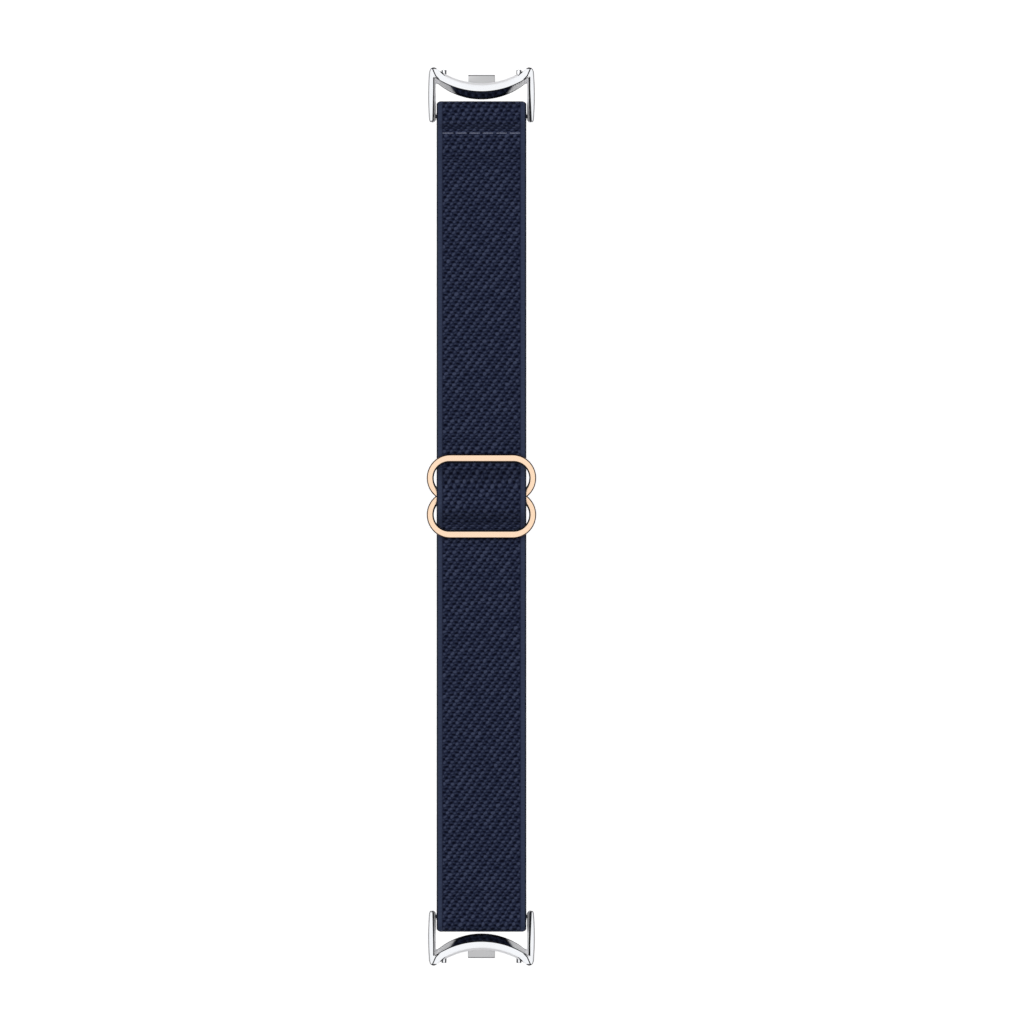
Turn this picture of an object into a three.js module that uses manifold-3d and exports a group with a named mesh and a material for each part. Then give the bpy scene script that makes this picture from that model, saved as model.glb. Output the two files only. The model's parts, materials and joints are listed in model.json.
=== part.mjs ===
// Fitness tracker band, lying flat with its outer face up. One elastic webbing
// strap is sewn round a spring bar at end A, passes through a slider, turns
// round a second spring bar at end B and comes back underneath to the slider's
// centre bar. A chromed connector hangs on each spring bar and plugs into the
// tracker. Millimetres: +Y runs towards end A, +X across the strap, +Z is the
// outer face, and the lowest faces lie at z = 0.

import * as THREE from 'three';
import { mergeVertices } from 'three/addons/utils/BufferGeometryUtils.js';
import Module from 'manifold-3d';

const wasm = await Module();
wasm.setup();

// ---------------------------------------------------------------- driving sizes

const overallLength = 195;
const webWidth = 19.4;
const webThickness = 1.3;
const layerGap = 0.15;
const turnReach = 3.35;                    // spring bar axis to the outside of a turn

// spring bars
const pinReach = 11;                       // connector tip to spring bar axis
const barrelRadius = 0.9;
const barrelBore = 0.58;
const barrelHalf = 9.75;
const crimpBore = 0.47;
const crimpLength = 0.45;
const tipRadius = 0.4;
const tipOuter = 10.85;
const pistonRadius = 0.5;
const pistonInner = 7;
const pistonOuter = 9.2;
const tipChamfer = 0.12;
const springTurns = 14;
const springWire = 0.09;
const springRadius = 0.38;
const springGap = 0.1;                     // end of the spring to the piston

// connectors, in their own frame: spring bar along X at the origin, tracker at +Y
const cheekInner = 10;
const cheekOuter = 11.35;
const cheekBulge = 0.2;
const cheekBack = -1.3;
const cheekBelly = 4.5;                     // widest station
const cheekShoulder = 8.6;                  // where the outer face turns in to the horn
const cheekTurn = { x: 11.25, y: 10.2 };    // control point of that turn
const hornTip = 10.3;
const heelRound = 1.2;
const hornRound = 0.7;
const connectorHalf = 2.2;
const socketDepth = 0.95;
const socketRadius = 0.48;
const archFront = { y: 7.1, r: 15.3 };      // tracker side, concave
const archTop = { y: 5.55, r: 17.8 };       // strap side at the top and bottom faces
const archBack = { y: 3.8, r: 14.8 };       // strap side at mid height
const archBackHalf = 0.35;
const archBed = 0.15;                       // how far the arch sinks into each cheek
const tongue = { width: 5.9, thickness: 1.6, tip: 8.95, root: 5.6 };
const tongueCorner = 0.5;
const dowel = { x: 8.1, radius: 0.55, tip: 10.1, root: 7.7, chamfer: 0.15 };
const pressGap = 0.15;

// slider: two round-ended rings side by side, sharing a centre bar
const sliderY = 4.3;
const ringOffset = 3.97;
const ringOuter = 4.9;
const ringWidth = 1.3;
const ringReach = 6.9;                      // centre of each round end
const frameThickness = 1.1;
const frameEdge = 0.2;
const barHalf = 0.65;
const barEnd = 8.6;

// stations along the strap: the flex lines, and where one run meets the next
const flexA = [45, 53.5, 62, 70.5];
const flexB = [-24, -35.5, -47, -58.5, -70];
const flexGap = 0.4;
const tailEndY = 80.8;
const bridgeHalf = 6.8;
const runGap = 0.3;

// where the strap climbs or dips, given as the two ends of each step
const sewnStep = [75.8, 80.4];              // up onto its own tail
const sewnFlat = 83.1;                      // and level over the seam as far as this
const midStep = [13.57, 18];                // down past the slider to the table
const leadStep = [-4.9, -0.4];              // up to the centre bar, from the slider's middle
const turnStep = -78.6;                     // start of the rise to the free turn
const turnLevel = { sewn: 0.1, free: -0.4 }; // end of each rise, beyond the spring bar axis
const leadOverlap = 0.2;

// seam
const seam = { y: 82.9, reach: 9.4, width: 0.5, height: 0.3 };
const seamSink = 0.05;                      // how far the sewn layers press together

// ---------------------------------------------------------------- worked out

const half = webThickness / 2;
const pinY = overallLength / 2 - pinReach;
const eyeHalf = barrelRadius + layerGap;
const turnRadius = eyeHalf + half;          // centre line of a turn round a spring bar
const turnShift = turnReach - turnRadius - half; // how far the turn stands off its bar
const pinZ = turnRadius + half;
const backZ = half;
const frontZ = webThickness + layerGap + half;
const frameZ = frontZ + half + layerGap;    // underside of the slider frame

const materials = {
  webbing: { color: 0x22273b, roughness: 0.9, metalness: 0 },
  chrome: { color: 0xd9dce0, roughness: 0.08, metalness: 1 },
  roseGold: { color: 0xf4cfae, roughness: 0.18, metalness: 1 },
  steel: { color: 0x9b9ea3, roughness: 0.3, metalness: 1 },
  darkSteel: { color: 0x3b3d42, roughness: 0.4, metalness: 1 },
  thread: { color: 0x747b97, roughness: 0.85, metalness: 0 },
};

const band = new THREE.Group();
band.name = 'fitness_tracker_band';

function add(name, finish, geometry, parent = band) {
  const mesh = new THREE.Mesh(geometry, new THREE.MeshStandardMaterial(materials[finish]));
  mesh.name = name;
  parent.add(mesh);
  return mesh;
}

// ---------------------------------------------------------------- solid helpers

function toSolid(geometry) {
  const plain = geometry.index ? geometry.toNonIndexed() : geometry.clone();
  plain.deleteAttribute('normal');
  plain.deleteAttribute('uv');
  const merged = mergeVertices(plain, 1e-4);
  return new wasm.Manifold(new wasm.Mesh({
    numProp: 3,
    vertProperties: new Float32Array(merged.attributes.position.array),
    triVerts: new Uint32Array(merged.index.array),
  }));
}

function toGeometry(solid) {
  const mesh = solid.getMesh();
  const geometry = new THREE.BufferGeometry();
  geometry.setAttribute('position', new THREE.BufferAttribute(mesh.vertProperties, 3));
  geometry.setIndex(new THREE.BufferAttribute(mesh.triVerts, 1));
  geometry.computeVertexNormals();
  return geometry;
}

// A side profile, drawn in (y, z), carried across the strap from x0 to x1.
function across(shape, x0, x1, curveSegments = 8) {
  const geometry = new THREE.ExtrudeGeometry(shape, { depth: x1 - x0, bevelEnabled: false, curveSegments });
  const yAxis = new THREE.Vector3(0, 1, 0);
  const zAxis = new THREE.Vector3(0, 0, 1);
  const xAxis = new THREE.Vector3(1, 0, 0);
  geometry.applyMatrix4(new THREE.Matrix4().makeBasis(yAxis, zAxis, xAxis));
  return geometry.translate(x0, 0, 0);
}

// A plan, drawn in (x, y), raised from z0 to z1.
function upward(shape, z0, z1, curveSegments = 8) {
  const geometry = new THREE.ExtrudeGeometry(shape, { depth: z1 - z0, bevelEnabled: false, curveSegments });
  return geometry.translate(0, 0, z0);
}

function box(x0, x1, y0, y1, z0, z1) {
  const geometry = new THREE.BoxGeometry(x1 - x0, y1 - y0, z1 - z0);
  return geometry.translate((x0 + x1) / 2, (y0 + y1) / 2, (z0 + z1) / 2);
}

// A turned piece with its axis along X. The profile is a list of [x, radius].
function turned(profile, segments = 20) {
  const points = profile.map(([x, radius]) => new THREE.Vector2(radius, x));
  return new THREE.LatheGeometry(points, segments).rotateZ(-Math.PI / 2);
}

function rodY(x, radius, y0, y1) {
  return new THREE.CylinderGeometry(radius, radius, y1 - y0, 20).translate(x, (y0 + y1) / 2, 0);
}

// The section of a layer of webbing whose middle follows a path in (y, z).
function ribbon(path, divisions = 8) {
  const points = path.getPoints(divisions).filter((p, i, all) => i === 0 || p.distanceTo(all[i - 1]) > 1e-6);
  const left = [];
  const right = [];
  points.forEach((point, i) => {
    const before = points[Math.max(i - 1, 0)];
    const after = points[Math.min(i + 1, points.length - 1)];
    const into = (i === 0 ? after.clone().sub(point) : point.clone().sub(before)).normalize();
    const out = (i === points.length - 1 ? into.clone() : after.clone().sub(point)).normalize();
    const normal = new THREE.Vector2(-into.y - out.y, into.x + out.x).normalize();
    const reach = half / normal.dot(new THREE.Vector2(-into.y, into.x));
    left.push(point.clone().addScaledVector(normal, reach));
    right.push(point.clone().addScaledVector(normal, -reach));
  });
  return new THREE.Shape([...left, ...right.reverse()]);
}

// A smooth step between two heights, level at both ends.
function step(path, y, z) {
  const from = path.currentPoint;
  const middle = (from.x + y) / 2;
  path.bezierCurveTo(middle, from.y, middle, z, y, z);
}

const webbing = (shape) => across(shape, -webWidth / 2, webWidth / 2);
const flatRun = (y0, y1, z) => box(-webWidth / 2, webWidth / 2, y0, y1, z - half, z + half);

// ---------------------------------------------------------------- webbing, end A

// The sewn end: the strap passes over the spring bar, turns under it and its
// tail is stitched flat beneath the strap.
function sewnLoop() {
  const seamZ = webThickness + half - seamSink;
  const over = new THREE.Path();
  over.moveTo(flexA.at(-1) + flexGap / 2, backZ);
  over.lineTo(sewnStep[0], backZ);
  step(over, sewnStep[1], seamZ);
  over.lineTo(sewnFlat, seamZ);
  step(over, pinY + turnLevel.sewn, pinZ + turnRadius);
  over.lineTo(pinY + turnShift, pinZ + turnRadius);
  over.absarc(pinY + turnShift, pinZ, turnRadius, Math.PI / 2, -Math.PI / 2, true);
  over.lineTo(pinY - half, backZ);
  const tail = flatRun(tailEndY, pinY, backZ);
  return toGeometry(toSolid(webbing(ribbon(over))).add(toSolid(tail)));
}

add('webbing_loop_a', 'webbing', sewnLoop());
const seamZ = [0, seam.height].map((lift) => 2 * webThickness + lift);
const seamY = [-seam.width / 2, seam.width / 2].map((offset) => seam.y + offset);
add('seam_thread_a', 'thread', box(-seam.reach, seam.reach, ...seamY, ...seamZ));

for (let i = 0; i < flexA.length - 1; i += 1) {
  const run = flatRun(flexA[i] + flexGap / 2, flexA[i + 1] - flexGap / 2, backZ);
  add(`webbing_upper_${i + 1}`, 'webbing', run);
}

// ---------------------------------------------------------------- webbing, middle

// The single run above the slider dips to the table once it is past the frame.
function middleRun() {
  const path = new THREE.Path();
  path.moveTo(sliderY + bridgeHalf + runGap, frontZ);
  path.lineTo(midStep[0], frontZ);
  step(path, midStep[1], backZ);
  path.lineTo(flexA[0] - flexGap / 2, backZ);
  return webbing(ribbon(path));
}

add('webbing_mid', 'webbing', middleRun());

// ---------------------------------------------------------------- slider

function ringPlan(radius, side) {
  const plan = new THREE.Path();
  const y = side * ringOffset;
  plan.absarc(ringReach, y, radius, -Math.PI / 2, Math.PI / 2, false);
  plan.absarc(-ringReach, y, radius, Math.PI / 2, 1.5 * Math.PI, false);
  plan.closePath();
  return plan;
}

function sliderFrame() {
  const pinch = Math.asin(ringOffset / ringOuter);
  const outline = new THREE.Shape();
  outline.absarc(ringReach, ringOffset, ringOuter, -pinch, Math.PI / 2, false);
  outline.absarc(-ringReach, ringOffset, ringOuter, Math.PI / 2, Math.PI + pinch, false);
  outline.absarc(-ringReach, -ringOffset, ringOuter, Math.PI - pinch, 1.5 * Math.PI, false);
  outline.absarc(ringReach, -ringOffset, ringOuter, -Math.PI / 2, pinch, false);
  outline.holes = [ringPlan(ringOuter - ringWidth, 1), ringPlan(ringOuter - ringWidth, -1)];
  const rings = new THREE.ExtrudeGeometry(outline, {
    depth: frameThickness - 2 * frameEdge,
    bevelThickness: frameEdge,
    bevelSize: frameEdge,
    bevelOffset: -frameEdge,
    bevelSegments: 2,
    curveSegments: 10,
  }).translate(0, 0, frameEdge);
  const bar = box(-barEnd, barEnd, -barHalf, barHalf, 0, frameThickness);
  return toGeometry(toSolid(rings).add(toSolid(bar))).translate(0, sliderY, frameZ);
}

add('slider_frame', 'roseGold', sliderFrame());

// The last turn of webbing, sewn round the centre bar, and the strap above it.
const loopShift = 1.15;
const loopHalf = frameThickness / 2 + layerGap;   // inside half height of the tail loop
const loopZ = frameZ + frameThickness / 2;
const bridgeRadius = loopHalf + webThickness + layerGap + half;
const bridgeSlope = THREE.MathUtils.degToRad(50);
const bridgeFillet = 1.5;

function tailLoop() {
  const stadium = (shape, radius) => {
    shape.absarc(loopShift, loopZ, radius, -Math.PI / 2, Math.PI / 2, false);
    shape.absarc(-loopShift, loopZ, radius, Math.PI / 2, 1.5 * Math.PI, false);
    shape.closePath();
    return shape;
  };
  const ring = stadium(new THREE.Shape(), loopHalf + webThickness);
  ring.holes = [stadium(new THREE.Path(), loopHalf)];
  const lead = new THREE.Path();
  lead.moveTo(-bridgeHalf + leadOverlap, backZ);
  lead.lineTo(leadStep[0], backZ);
  step(lead, leadStep[1], loopZ - loopHalf - half);
  const solid = toSolid(webbing(ring)).add(toSolid(webbing(ribbon(lead))));
  return toGeometry(solid).translate(0, sliderY, 0);
}

add('webbing_tail_loop', 'webbing', tailLoop());

function bridge() {
  const top = new THREE.Vector2(
    loopShift + bridgeRadius * Math.sin(bridgeSlope),
    loopZ + bridgeRadius * Math.cos(bridgeSlope),
  );
  const rise = bridgeFillet * (1 - Math.cos(bridgeSlope));
  const fall = (top.y - frontZ - rise) / Math.tan(bridgeSlope);
  const foot = top.x + fall + bridgeFillet * Math.sin(bridgeSlope);
  const quarter = Math.PI / 2;
  const path = new THREE.Path();
  path.moveTo(-bridgeHalf, frontZ);
  path.lineTo(-foot, frontZ);
  path.absarc(-foot, frontZ + bridgeFillet, bridgeFillet, -quarter, bridgeSlope - quarter, false);
  path.absarc(-loopShift, loopZ, bridgeRadius, quarter + bridgeSlope, quarter, true);
  path.absarc(loopShift, loopZ, bridgeRadius, quarter, quarter - bridgeSlope, true);
  path.absarc(foot, frontZ + bridgeFillet, bridgeFillet, -quarter - bridgeSlope, -quarter, false);
  path.lineTo(bridgeHalf, frontZ);
  return webbing(ribbon(path)).translate(0, sliderY, 0);
}

add('webbing_bridge', 'webbing', bridge());

// ---------------------------------------------------------------- webbing, end B

const startsB = [sliderY - bridgeHalf - runGap, ...flexB.map((y) => y - flexGap / 2)];
for (let i = 0; i < flexB.length; i += 1) {
  const end = flexB[i] + flexGap / 2;
  add(`webbing_front_${i + 1}`, 'webbing', flatRun(end, startsB[i], frontZ));
  add(`webbing_back_${i + 1}`, 'webbing', flatRun(end, startsB[i], backZ));
}

// The free turn round the second spring bar.
function turnLoop() {
  const path = new THREE.Path();
  path.moveTo(startsB.at(-1), frontZ);
  path.lineTo(turnStep, frontZ);
  step(path, -pinY - turnLevel.free, pinZ + turnRadius);
  path.lineTo(-pinY - turnShift, pinZ + turnRadius);
  path.absarc(-pinY - turnShift, pinZ, turnRadius, Math.PI / 2, 1.5 * Math.PI, false);
  path.lineTo(startsB.at(-1), backZ);
  return webbing(ribbon(path));
}

add('webbing_loop_b', 'webbing', turnLoop());

// ---------------------------------------------------------------- connectors

const arcY = (arc, x) => arc.y + arc.r - Math.sqrt(arc.r ** 2 - x ** 2);

// The arch is lofted through one six-cornered section at each station across it.
function arch() {
  const stations = 18;
  const reach = cheekInner + archBed;
  const corners = [];
  for (let i = 0; i <= stations; i += 1) {
    const x = -reach + (2 * reach * i) / stations;
    const front = arcY(archFront, x);
    const top = arcY(archTop, x);
    const back = arcY(archBack, x);
    corners.push(
      [x, front, -connectorHalf], [x, front, connectorHalf], [x, top, connectorHalf],
      [x, back, archBackHalf], [x, back, -archBackHalf], [x, top, -connectorHalf],
    );
  }
  const sides = 6;
  const index = [];
  for (let i = 0; i < stations; i += 1) {
    for (let j = 0; j < sides; j += 1) {
      const a = i * sides + j;
      const b = i * sides + ((j + 1) % sides);
      index.push(a, b, a + sides, b, b + sides, a + sides);
    }
  }
  const last = stations * sides;
  for (let j = 1; j < sides - 1; j += 1) {
    index.push(0, j + 1, j);
    index.push(last, last + j, last + j + 1);
  }
  const geometry = new THREE.BufferGeometry();
  geometry.setAttribute('position', new THREE.Float32BufferAttribute(corners.flat(), 3));
  geometry.setIndex(index);
  return geometry;
}

// One cheek, at +X: a plate with a rounded heel, a barely bulging outer face and
// a horn that meets the end of the arch.
function cheek() {
  const heel = (cheekOuter - cheekInner) / 2;
  const plan = new THREE.Shape();
  plan.moveTo(cheekInner, cheekBack + heel);
  plan.absarc(cheekInner + heel, cheekBack + heel, heel, Math.PI, 2 * Math.PI, false);
  plan.quadraticCurveTo(cheekOuter + 2 * cheekBulge, cheekBelly, cheekOuter, cheekShoulder);
  plan.quadraticCurveTo(cheekTurn.x, cheekTurn.y, hornTip, pinReach);
  plan.lineTo(cheekInner, arcY(archFront, cheekInner));
  const side = new THREE.Shape();
  const quarter = Math.PI / 2;
  side.absarc(cheekBack + heelRound, -connectorHalf + heelRound, heelRound, -2 * quarter, -quarter, false);
  side.absarc(pinReach - hornRound, -connectorHalf + hornRound, hornRound, -quarter, 0, false);
  side.absarc(pinReach - hornRound, connectorHalf - hornRound, hornRound, 0, quarter, false);
  side.absarc(cheekBack + heelRound, connectorHalf - heelRound, heelRound, quarter, 2 * quarter, false);
  const plate = toSolid(upward(plan, -connectorHalf, connectorHalf, 10));
  return plate.intersect(toSolid(across(side, cheekInner - 1, cheekOuter + 1, 6)));
}

function connectorFrame() {
  const right = cheek();
  const left = right.mirror([1, 0, 0]);
  const holes = [];
  for (const side of [-1, 1]) {
    const socket = [cheekInner - socketRadius, cheekInner + socketDepth].map((x) => side * x).sort((a, b) => a - b);
    const [x0, x1] = socket;
    holes.push(turned([[x0, 0], [x0, socketRadius], [x1, socketRadius], [x1, 0]]));
    holes.push(rodY(side * dowel.x, dowel.radius + pressGap, dowel.root - pressGap, dowel.tip + 2));
  }
  const slotHalf = tongue.width / 2 + pressGap;
  const slotZ = tongue.thickness / 2 + pressGap;
  holes.push(box(-slotHalf, slotHalf, tongue.root - pressGap, tongue.tip + 1, -slotZ, slotZ));
  let frame = toSolid(arch()).add(right).add(left);
  for (const hole of holes) frame = frame.subtract(toSolid(hole));
  return toGeometry(frame);
}

function tonguePlate() {
  const corner = tongueCorner;
  const reach = tongue.width / 2;
  const plan = new THREE.Shape();
  plan.moveTo(-reach, tongue.root);
  plan.lineTo(reach, tongue.root);
  plan.absarc(reach - corner, tongue.tip - corner, corner, 0, Math.PI / 2, false);
  plan.absarc(-reach + corner, tongue.tip - corner, corner, Math.PI / 2, Math.PI, false);
  plan.closePath();
  return upward(plan, -tongue.thickness / 2, tongue.thickness / 2, 5);
}

function dowelPin(x) {
  const { radius, root, tip, chamfer } = dowel;
  const points = [[0, root], [radius, root], [radius, tip - chamfer], [radius - chamfer, tip], [0, tip]];
  return new THREE.LatheGeometry(points.map(([r, y]) => new THREE.Vector2(r, y)), 20).translate(x, 0, 0);
}

function barrel() {
  const lip = barrelHalf - crimpLength;
  const chamfer = tipChamfer;
  const rightHalf = [
    [lip, barrelBore], [lip, crimpBore], [barrelHalf, crimpBore],
    [barrelHalf, barrelRadius - chamfer], [barrelHalf - chamfer, barrelRadius],
  ];
  const leftHalf = rightHalf.map(([x, radius]) => [-x, radius]);
  const outside = [...leftHalf, ...rightHalf.reverse()];
  return turned([...outside, outside[0]]);
}

function springTip(side) {
  const chamfer = tipChamfer;
  const profile = [
    [pistonInner, 0], [pistonInner, pistonRadius], [pistonOuter, pistonRadius], [pistonOuter, tipRadius],
    [tipOuter - chamfer, tipRadius], [tipOuter, tipRadius - chamfer], [tipOuter, 0],
  ];
  return turned(side > 0 ? profile : profile.map(([x, radius]) => [-x, radius]).reverse());
}

class Helix extends THREE.Curve {
  getPoint(t, target = new THREE.Vector3()) {
    const angle = 2 * Math.PI * springTurns * t;
    const reach = pistonInner - springGap - springWire;
    return target.set(-reach + 2 * reach * t, springRadius * Math.cos(angle), springRadius * Math.sin(angle));
  }
}

function coilSpring() {
  const wire = new THREE.Shape();
  wire.absarc(0, 0, springWire, 0, 2 * Math.PI, false);
  return new THREE.ExtrudeGeometry(wire, { steps: springTurns * 8, extrudePath: new Helix(), curveSegments: 3 });
}

for (const [end, side] of [['a', 1], ['b', -1]]) {
  const connector = new THREE.Group();
  connector.position.set(0, side * pinY, pinZ);
  connector.rotation.z = side > 0 ? 0 : Math.PI;
  band.add(connector);
  add(`connector_${end}`, 'chrome', connectorFrame(), connector);
  add(`tongue_${end}`, 'chrome', tonguePlate(), connector);
  add(`dowel_${end}_left`, 'steel', dowelPin(-side * dowel.x), connector);
  add(`dowel_${end}_right`, 'steel', dowelPin(side * dowel.x), connector);
  add(`spring_bar_${end}`, 'darkSteel', barrel(), connector);
  add(`bar_tip_${end}_left`, 'darkSteel', springTip(-side), connector);
  add(`bar_tip_${end}_right`, 'darkSteel', springTip(side), connector);
  add(`bar_spring_${end}`, 'steel', coilSpring(), connector);
}

export default band;
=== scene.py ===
"""Fitness tracker band lying flat, outer face up: woven elastic strap, slider and two connectors."""

import json
import math

import bpy
import numpy as np
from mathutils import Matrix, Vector


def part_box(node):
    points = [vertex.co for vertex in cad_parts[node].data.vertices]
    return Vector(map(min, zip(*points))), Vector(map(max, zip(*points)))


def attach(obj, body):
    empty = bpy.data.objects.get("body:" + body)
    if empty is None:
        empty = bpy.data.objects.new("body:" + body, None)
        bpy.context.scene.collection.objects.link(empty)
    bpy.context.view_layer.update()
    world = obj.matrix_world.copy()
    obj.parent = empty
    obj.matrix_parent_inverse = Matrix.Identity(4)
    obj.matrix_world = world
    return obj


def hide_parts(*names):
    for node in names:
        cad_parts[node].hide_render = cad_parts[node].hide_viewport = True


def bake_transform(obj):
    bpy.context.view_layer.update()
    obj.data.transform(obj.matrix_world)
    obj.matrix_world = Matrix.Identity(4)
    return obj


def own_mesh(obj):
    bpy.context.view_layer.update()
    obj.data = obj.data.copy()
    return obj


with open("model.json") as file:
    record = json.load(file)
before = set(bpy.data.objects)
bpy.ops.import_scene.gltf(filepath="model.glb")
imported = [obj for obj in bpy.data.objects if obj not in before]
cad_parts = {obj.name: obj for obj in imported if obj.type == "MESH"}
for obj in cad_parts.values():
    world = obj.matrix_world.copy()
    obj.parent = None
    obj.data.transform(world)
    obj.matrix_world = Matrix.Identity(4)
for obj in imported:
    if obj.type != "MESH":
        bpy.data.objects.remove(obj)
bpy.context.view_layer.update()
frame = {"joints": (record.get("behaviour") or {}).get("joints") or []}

MM = 0.001


def box_mm(node):
    """A CAD node's lowest and highest corners, in millimetres."""
    low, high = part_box(node)
    return np.array(low) / MM, np.array(high) / MM


# ---------------------------------------------------------------- sizes, in millimetres

_, loop_high = box_mm("webbing_loop_a")
run_low, run_high = box_mm("webbing_upper_1")
front_low, front_high = box_mm("webbing_front_2")
frame_low, frame_high = box_mm("slider_frame")
pin_low, pin_high = box_mm("spring_bar_a")

WEB_WIDTH = run_high[0] - run_low[0]
WEB_THICK = run_high[2] - run_low[2]
HALF = WEB_THICK / 2
BACK_Z = (run_low[2] + run_high[2]) / 2
FRONT_Z = (front_low[2] + front_high[2]) / 2
PIN_Y = (pin_low[1] + pin_high[1]) / 2
PIN_Z = (pin_low[2] + pin_high[2]) / 2
TURN_RADIUS = PIN_Z - BACK_Z
TURN_Y = loop_high[1] - TURN_RADIUS - HALF
SLIDER_Y = (frame_low[1] + frame_high[1]) / 2 + 0.05
BAR_Z = (frame_low[2] + frame_high[2]) / 2

FLEX = {
    joint["name"]: joint["pos_m"][1] / MM
    for joint in frame["joints"]
    if joint["name"].startswith("curl_")
}

# the woven pattern: each row of floats is set off sideways from the row below
FLOAT_PITCH = 1.645
ROW_PITCH = 0.783
ROW_SHIFT = -0.547
SELVAGE = 1.3
RELIEF = 0.16
MESH_PER_FLOAT = 9
MESH_PER_ROW = 5
FLOAT = {"half_across": 0.5, "half_up": 0.35, "lean": math.radians(30)}
KNUCKLE = {"lane": 0.5, "up": -0.12, "half_across": 0.34, "half_up": 0.28}
# the dark spots painted into the gaps between floats as shade
PAINTED_PIT_SPOT = {"lane": 0.54, "up": 0.2, "half_across": 0.43, "half_up": 0.36}
# slow waves that keep the rows from looking ruled: size, across, along and phase of each
WAVER_ACROSS = ((0.075, 1.9, 1.3, 0.4), (0.06, -2.7, 2.2, 1.9), (0.05, 0.7, -4.1, 4.2))
WAVER_ALONG = ((0.06, 1.4, -2.3, 2.6), (0.045, 3.1, 1.1, 0.9), (0.04, -0.9, 3.7, 5.1))
# where the strap turns round a spring bar, its pattern is pulled flat
FOLD_REACH = 1.1
FOLD_DEPTH = 0.4
EDGE_ROUND = 0.45
CORNER = 0.8
END_Y = loop_high[1]
# how far either side of a flex line hinge_blend sets its two points, as a share of half the gap to the next
# line; nothing uses the points
BEND_SHARE = 0.62

# the connectors' half height, and their arch's at its back
FRAME_HALF = 2.2
ARCH_BACK_HALF = 0.35

# the strap's climbs and dips
TAIL_END = 80.8
SEW_STEP = (75.8, 80.4)
SEW_FLAT = 83.1
SEW_Z = BACK_Z + WEB_THICK - 0.05
SEAM_Y = 82.9
MID_STEP = (13.57, 18.0)
TURN_STEP = 78.6
TURN_LEVEL = {"sewn": 0.1, "free": -0.4}
LEAD_STEP = (-4.9, -0.4)
BRIDGE_HALF = 8.2
BRIDGE_PITCH = (1.115, 0.793)

# the tail's turn round the slider's centre bar, and the strap over it
BAR_SHIFT = 1.15
BAR_TURN = 1.35
BRIDGE_RADIUS = 2.8
BRIDGE_SLOPE = math.radians(50)
BRIDGE_FILLET = 1.5


# ---------------------------------------------------------------- modelling helpers

def deselect():
    bpy.ops.object.select_all(action="DESELECT")


def make_active(piece):
    deselect()
    piece.select_set(True)
    bpy.context.view_layer.objects.active = piece


def edit(piece):
    make_active(piece)
    bpy.ops.object.mode_set(mode="EDIT")


def leave_edit():
    bpy.ops.object.mode_set(mode="OBJECT")


def named(name):
    piece = bpy.context.object
    piece.name = name
    piece.data.name = name
    return piece


def corners(piece):
    """A piece's vertices as an array."""
    flat = np.empty(len(piece.data.vertices) * 3)
    piece.data.vertices.foreach_get("co", flat)
    return flat.reshape(-1, 3)


def place_corners(piece, points):
    piece.data.vertices.foreach_set("co", np.ascontiguousarray(points, np.float32).ravel())
    piece.data.update()


def tidy_shell(piece, distance=1e-7):
    """Merges doubled corners and turns every face outwards."""
    edit(piece)
    bpy.ops.mesh.select_all(action="SELECT")
    bpy.ops.mesh.remove_doubles(threshold=distance)
    bpy.ops.mesh.normals_make_consistent(inside=False)
    leave_edit()


def modify(piece, kind, **settings):
    """Adds a modifier and applies it."""
    make_active(piece)
    modifier = piece.modifiers.new(kind.lower(), kind)
    for key, value in settings.items():
        setattr(modifier, key, value)
    bpy.ops.object.modifier_apply(modifier=modifier.name)


def smooth(piece, degrees=40):
    make_active(piece)
    bpy.ops.object.shade_smooth_by_angle(angle=math.radians(degrees))


# ---------------------------------------------------------------- shader helpers

class Value:
    """A socket or number that arithmetic can be written with."""

    def __init__(self, shader, socket):
        self.shader = shader
        self.socket = socket

    def _math(self, operation, *others):
        inputs = [self.socket] + [getattr(other, "socket", other) for other in others]
        return self.shader.add("ShaderNodeMath", {"operation": operation}, *inputs)

    def _flipped(self, operation, other):
        return self.shader.add("ShaderNodeMath", {"operation": operation}, other, self.socket)

    def __add__(self, other):
        return self._math("ADD", other)

    def __sub__(self, other):
        return self._math("SUBTRACT", other)

    def __mul__(self, other):
        return self._math("MULTIPLY", other)

    def __truediv__(self, other):
        return self._math("DIVIDE", other)

    def __radd__(self, other):
        return self._flipped("ADD", other)

    def __rsub__(self, other):
        return self._flipped("SUBTRACT", other)

    def __rmul__(self, other):
        return self._flipped("MULTIPLY", other)

    def __pow__(self, other):
        return self._math("POWER", other)

    def __abs__(self):
        return self._math("ABSOLUTE")

    def round(self):
        return self._math("ROUND")

    def sqrt(self):
        return self._math("SQRT")

    def sine(self):
        return self._math("SINE")

    def most(self, other):
        return self._math("MAXIMUM", other)

    def rise(self, low, high):
        """0 at low, 1 at high, smooth between."""
        return self.shader.add(
            "ShaderNodeMapRange", {"interpolation_type": "SMOOTHSTEP"}, self.socket, low, high, 0.0, 1.0
        )


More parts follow.
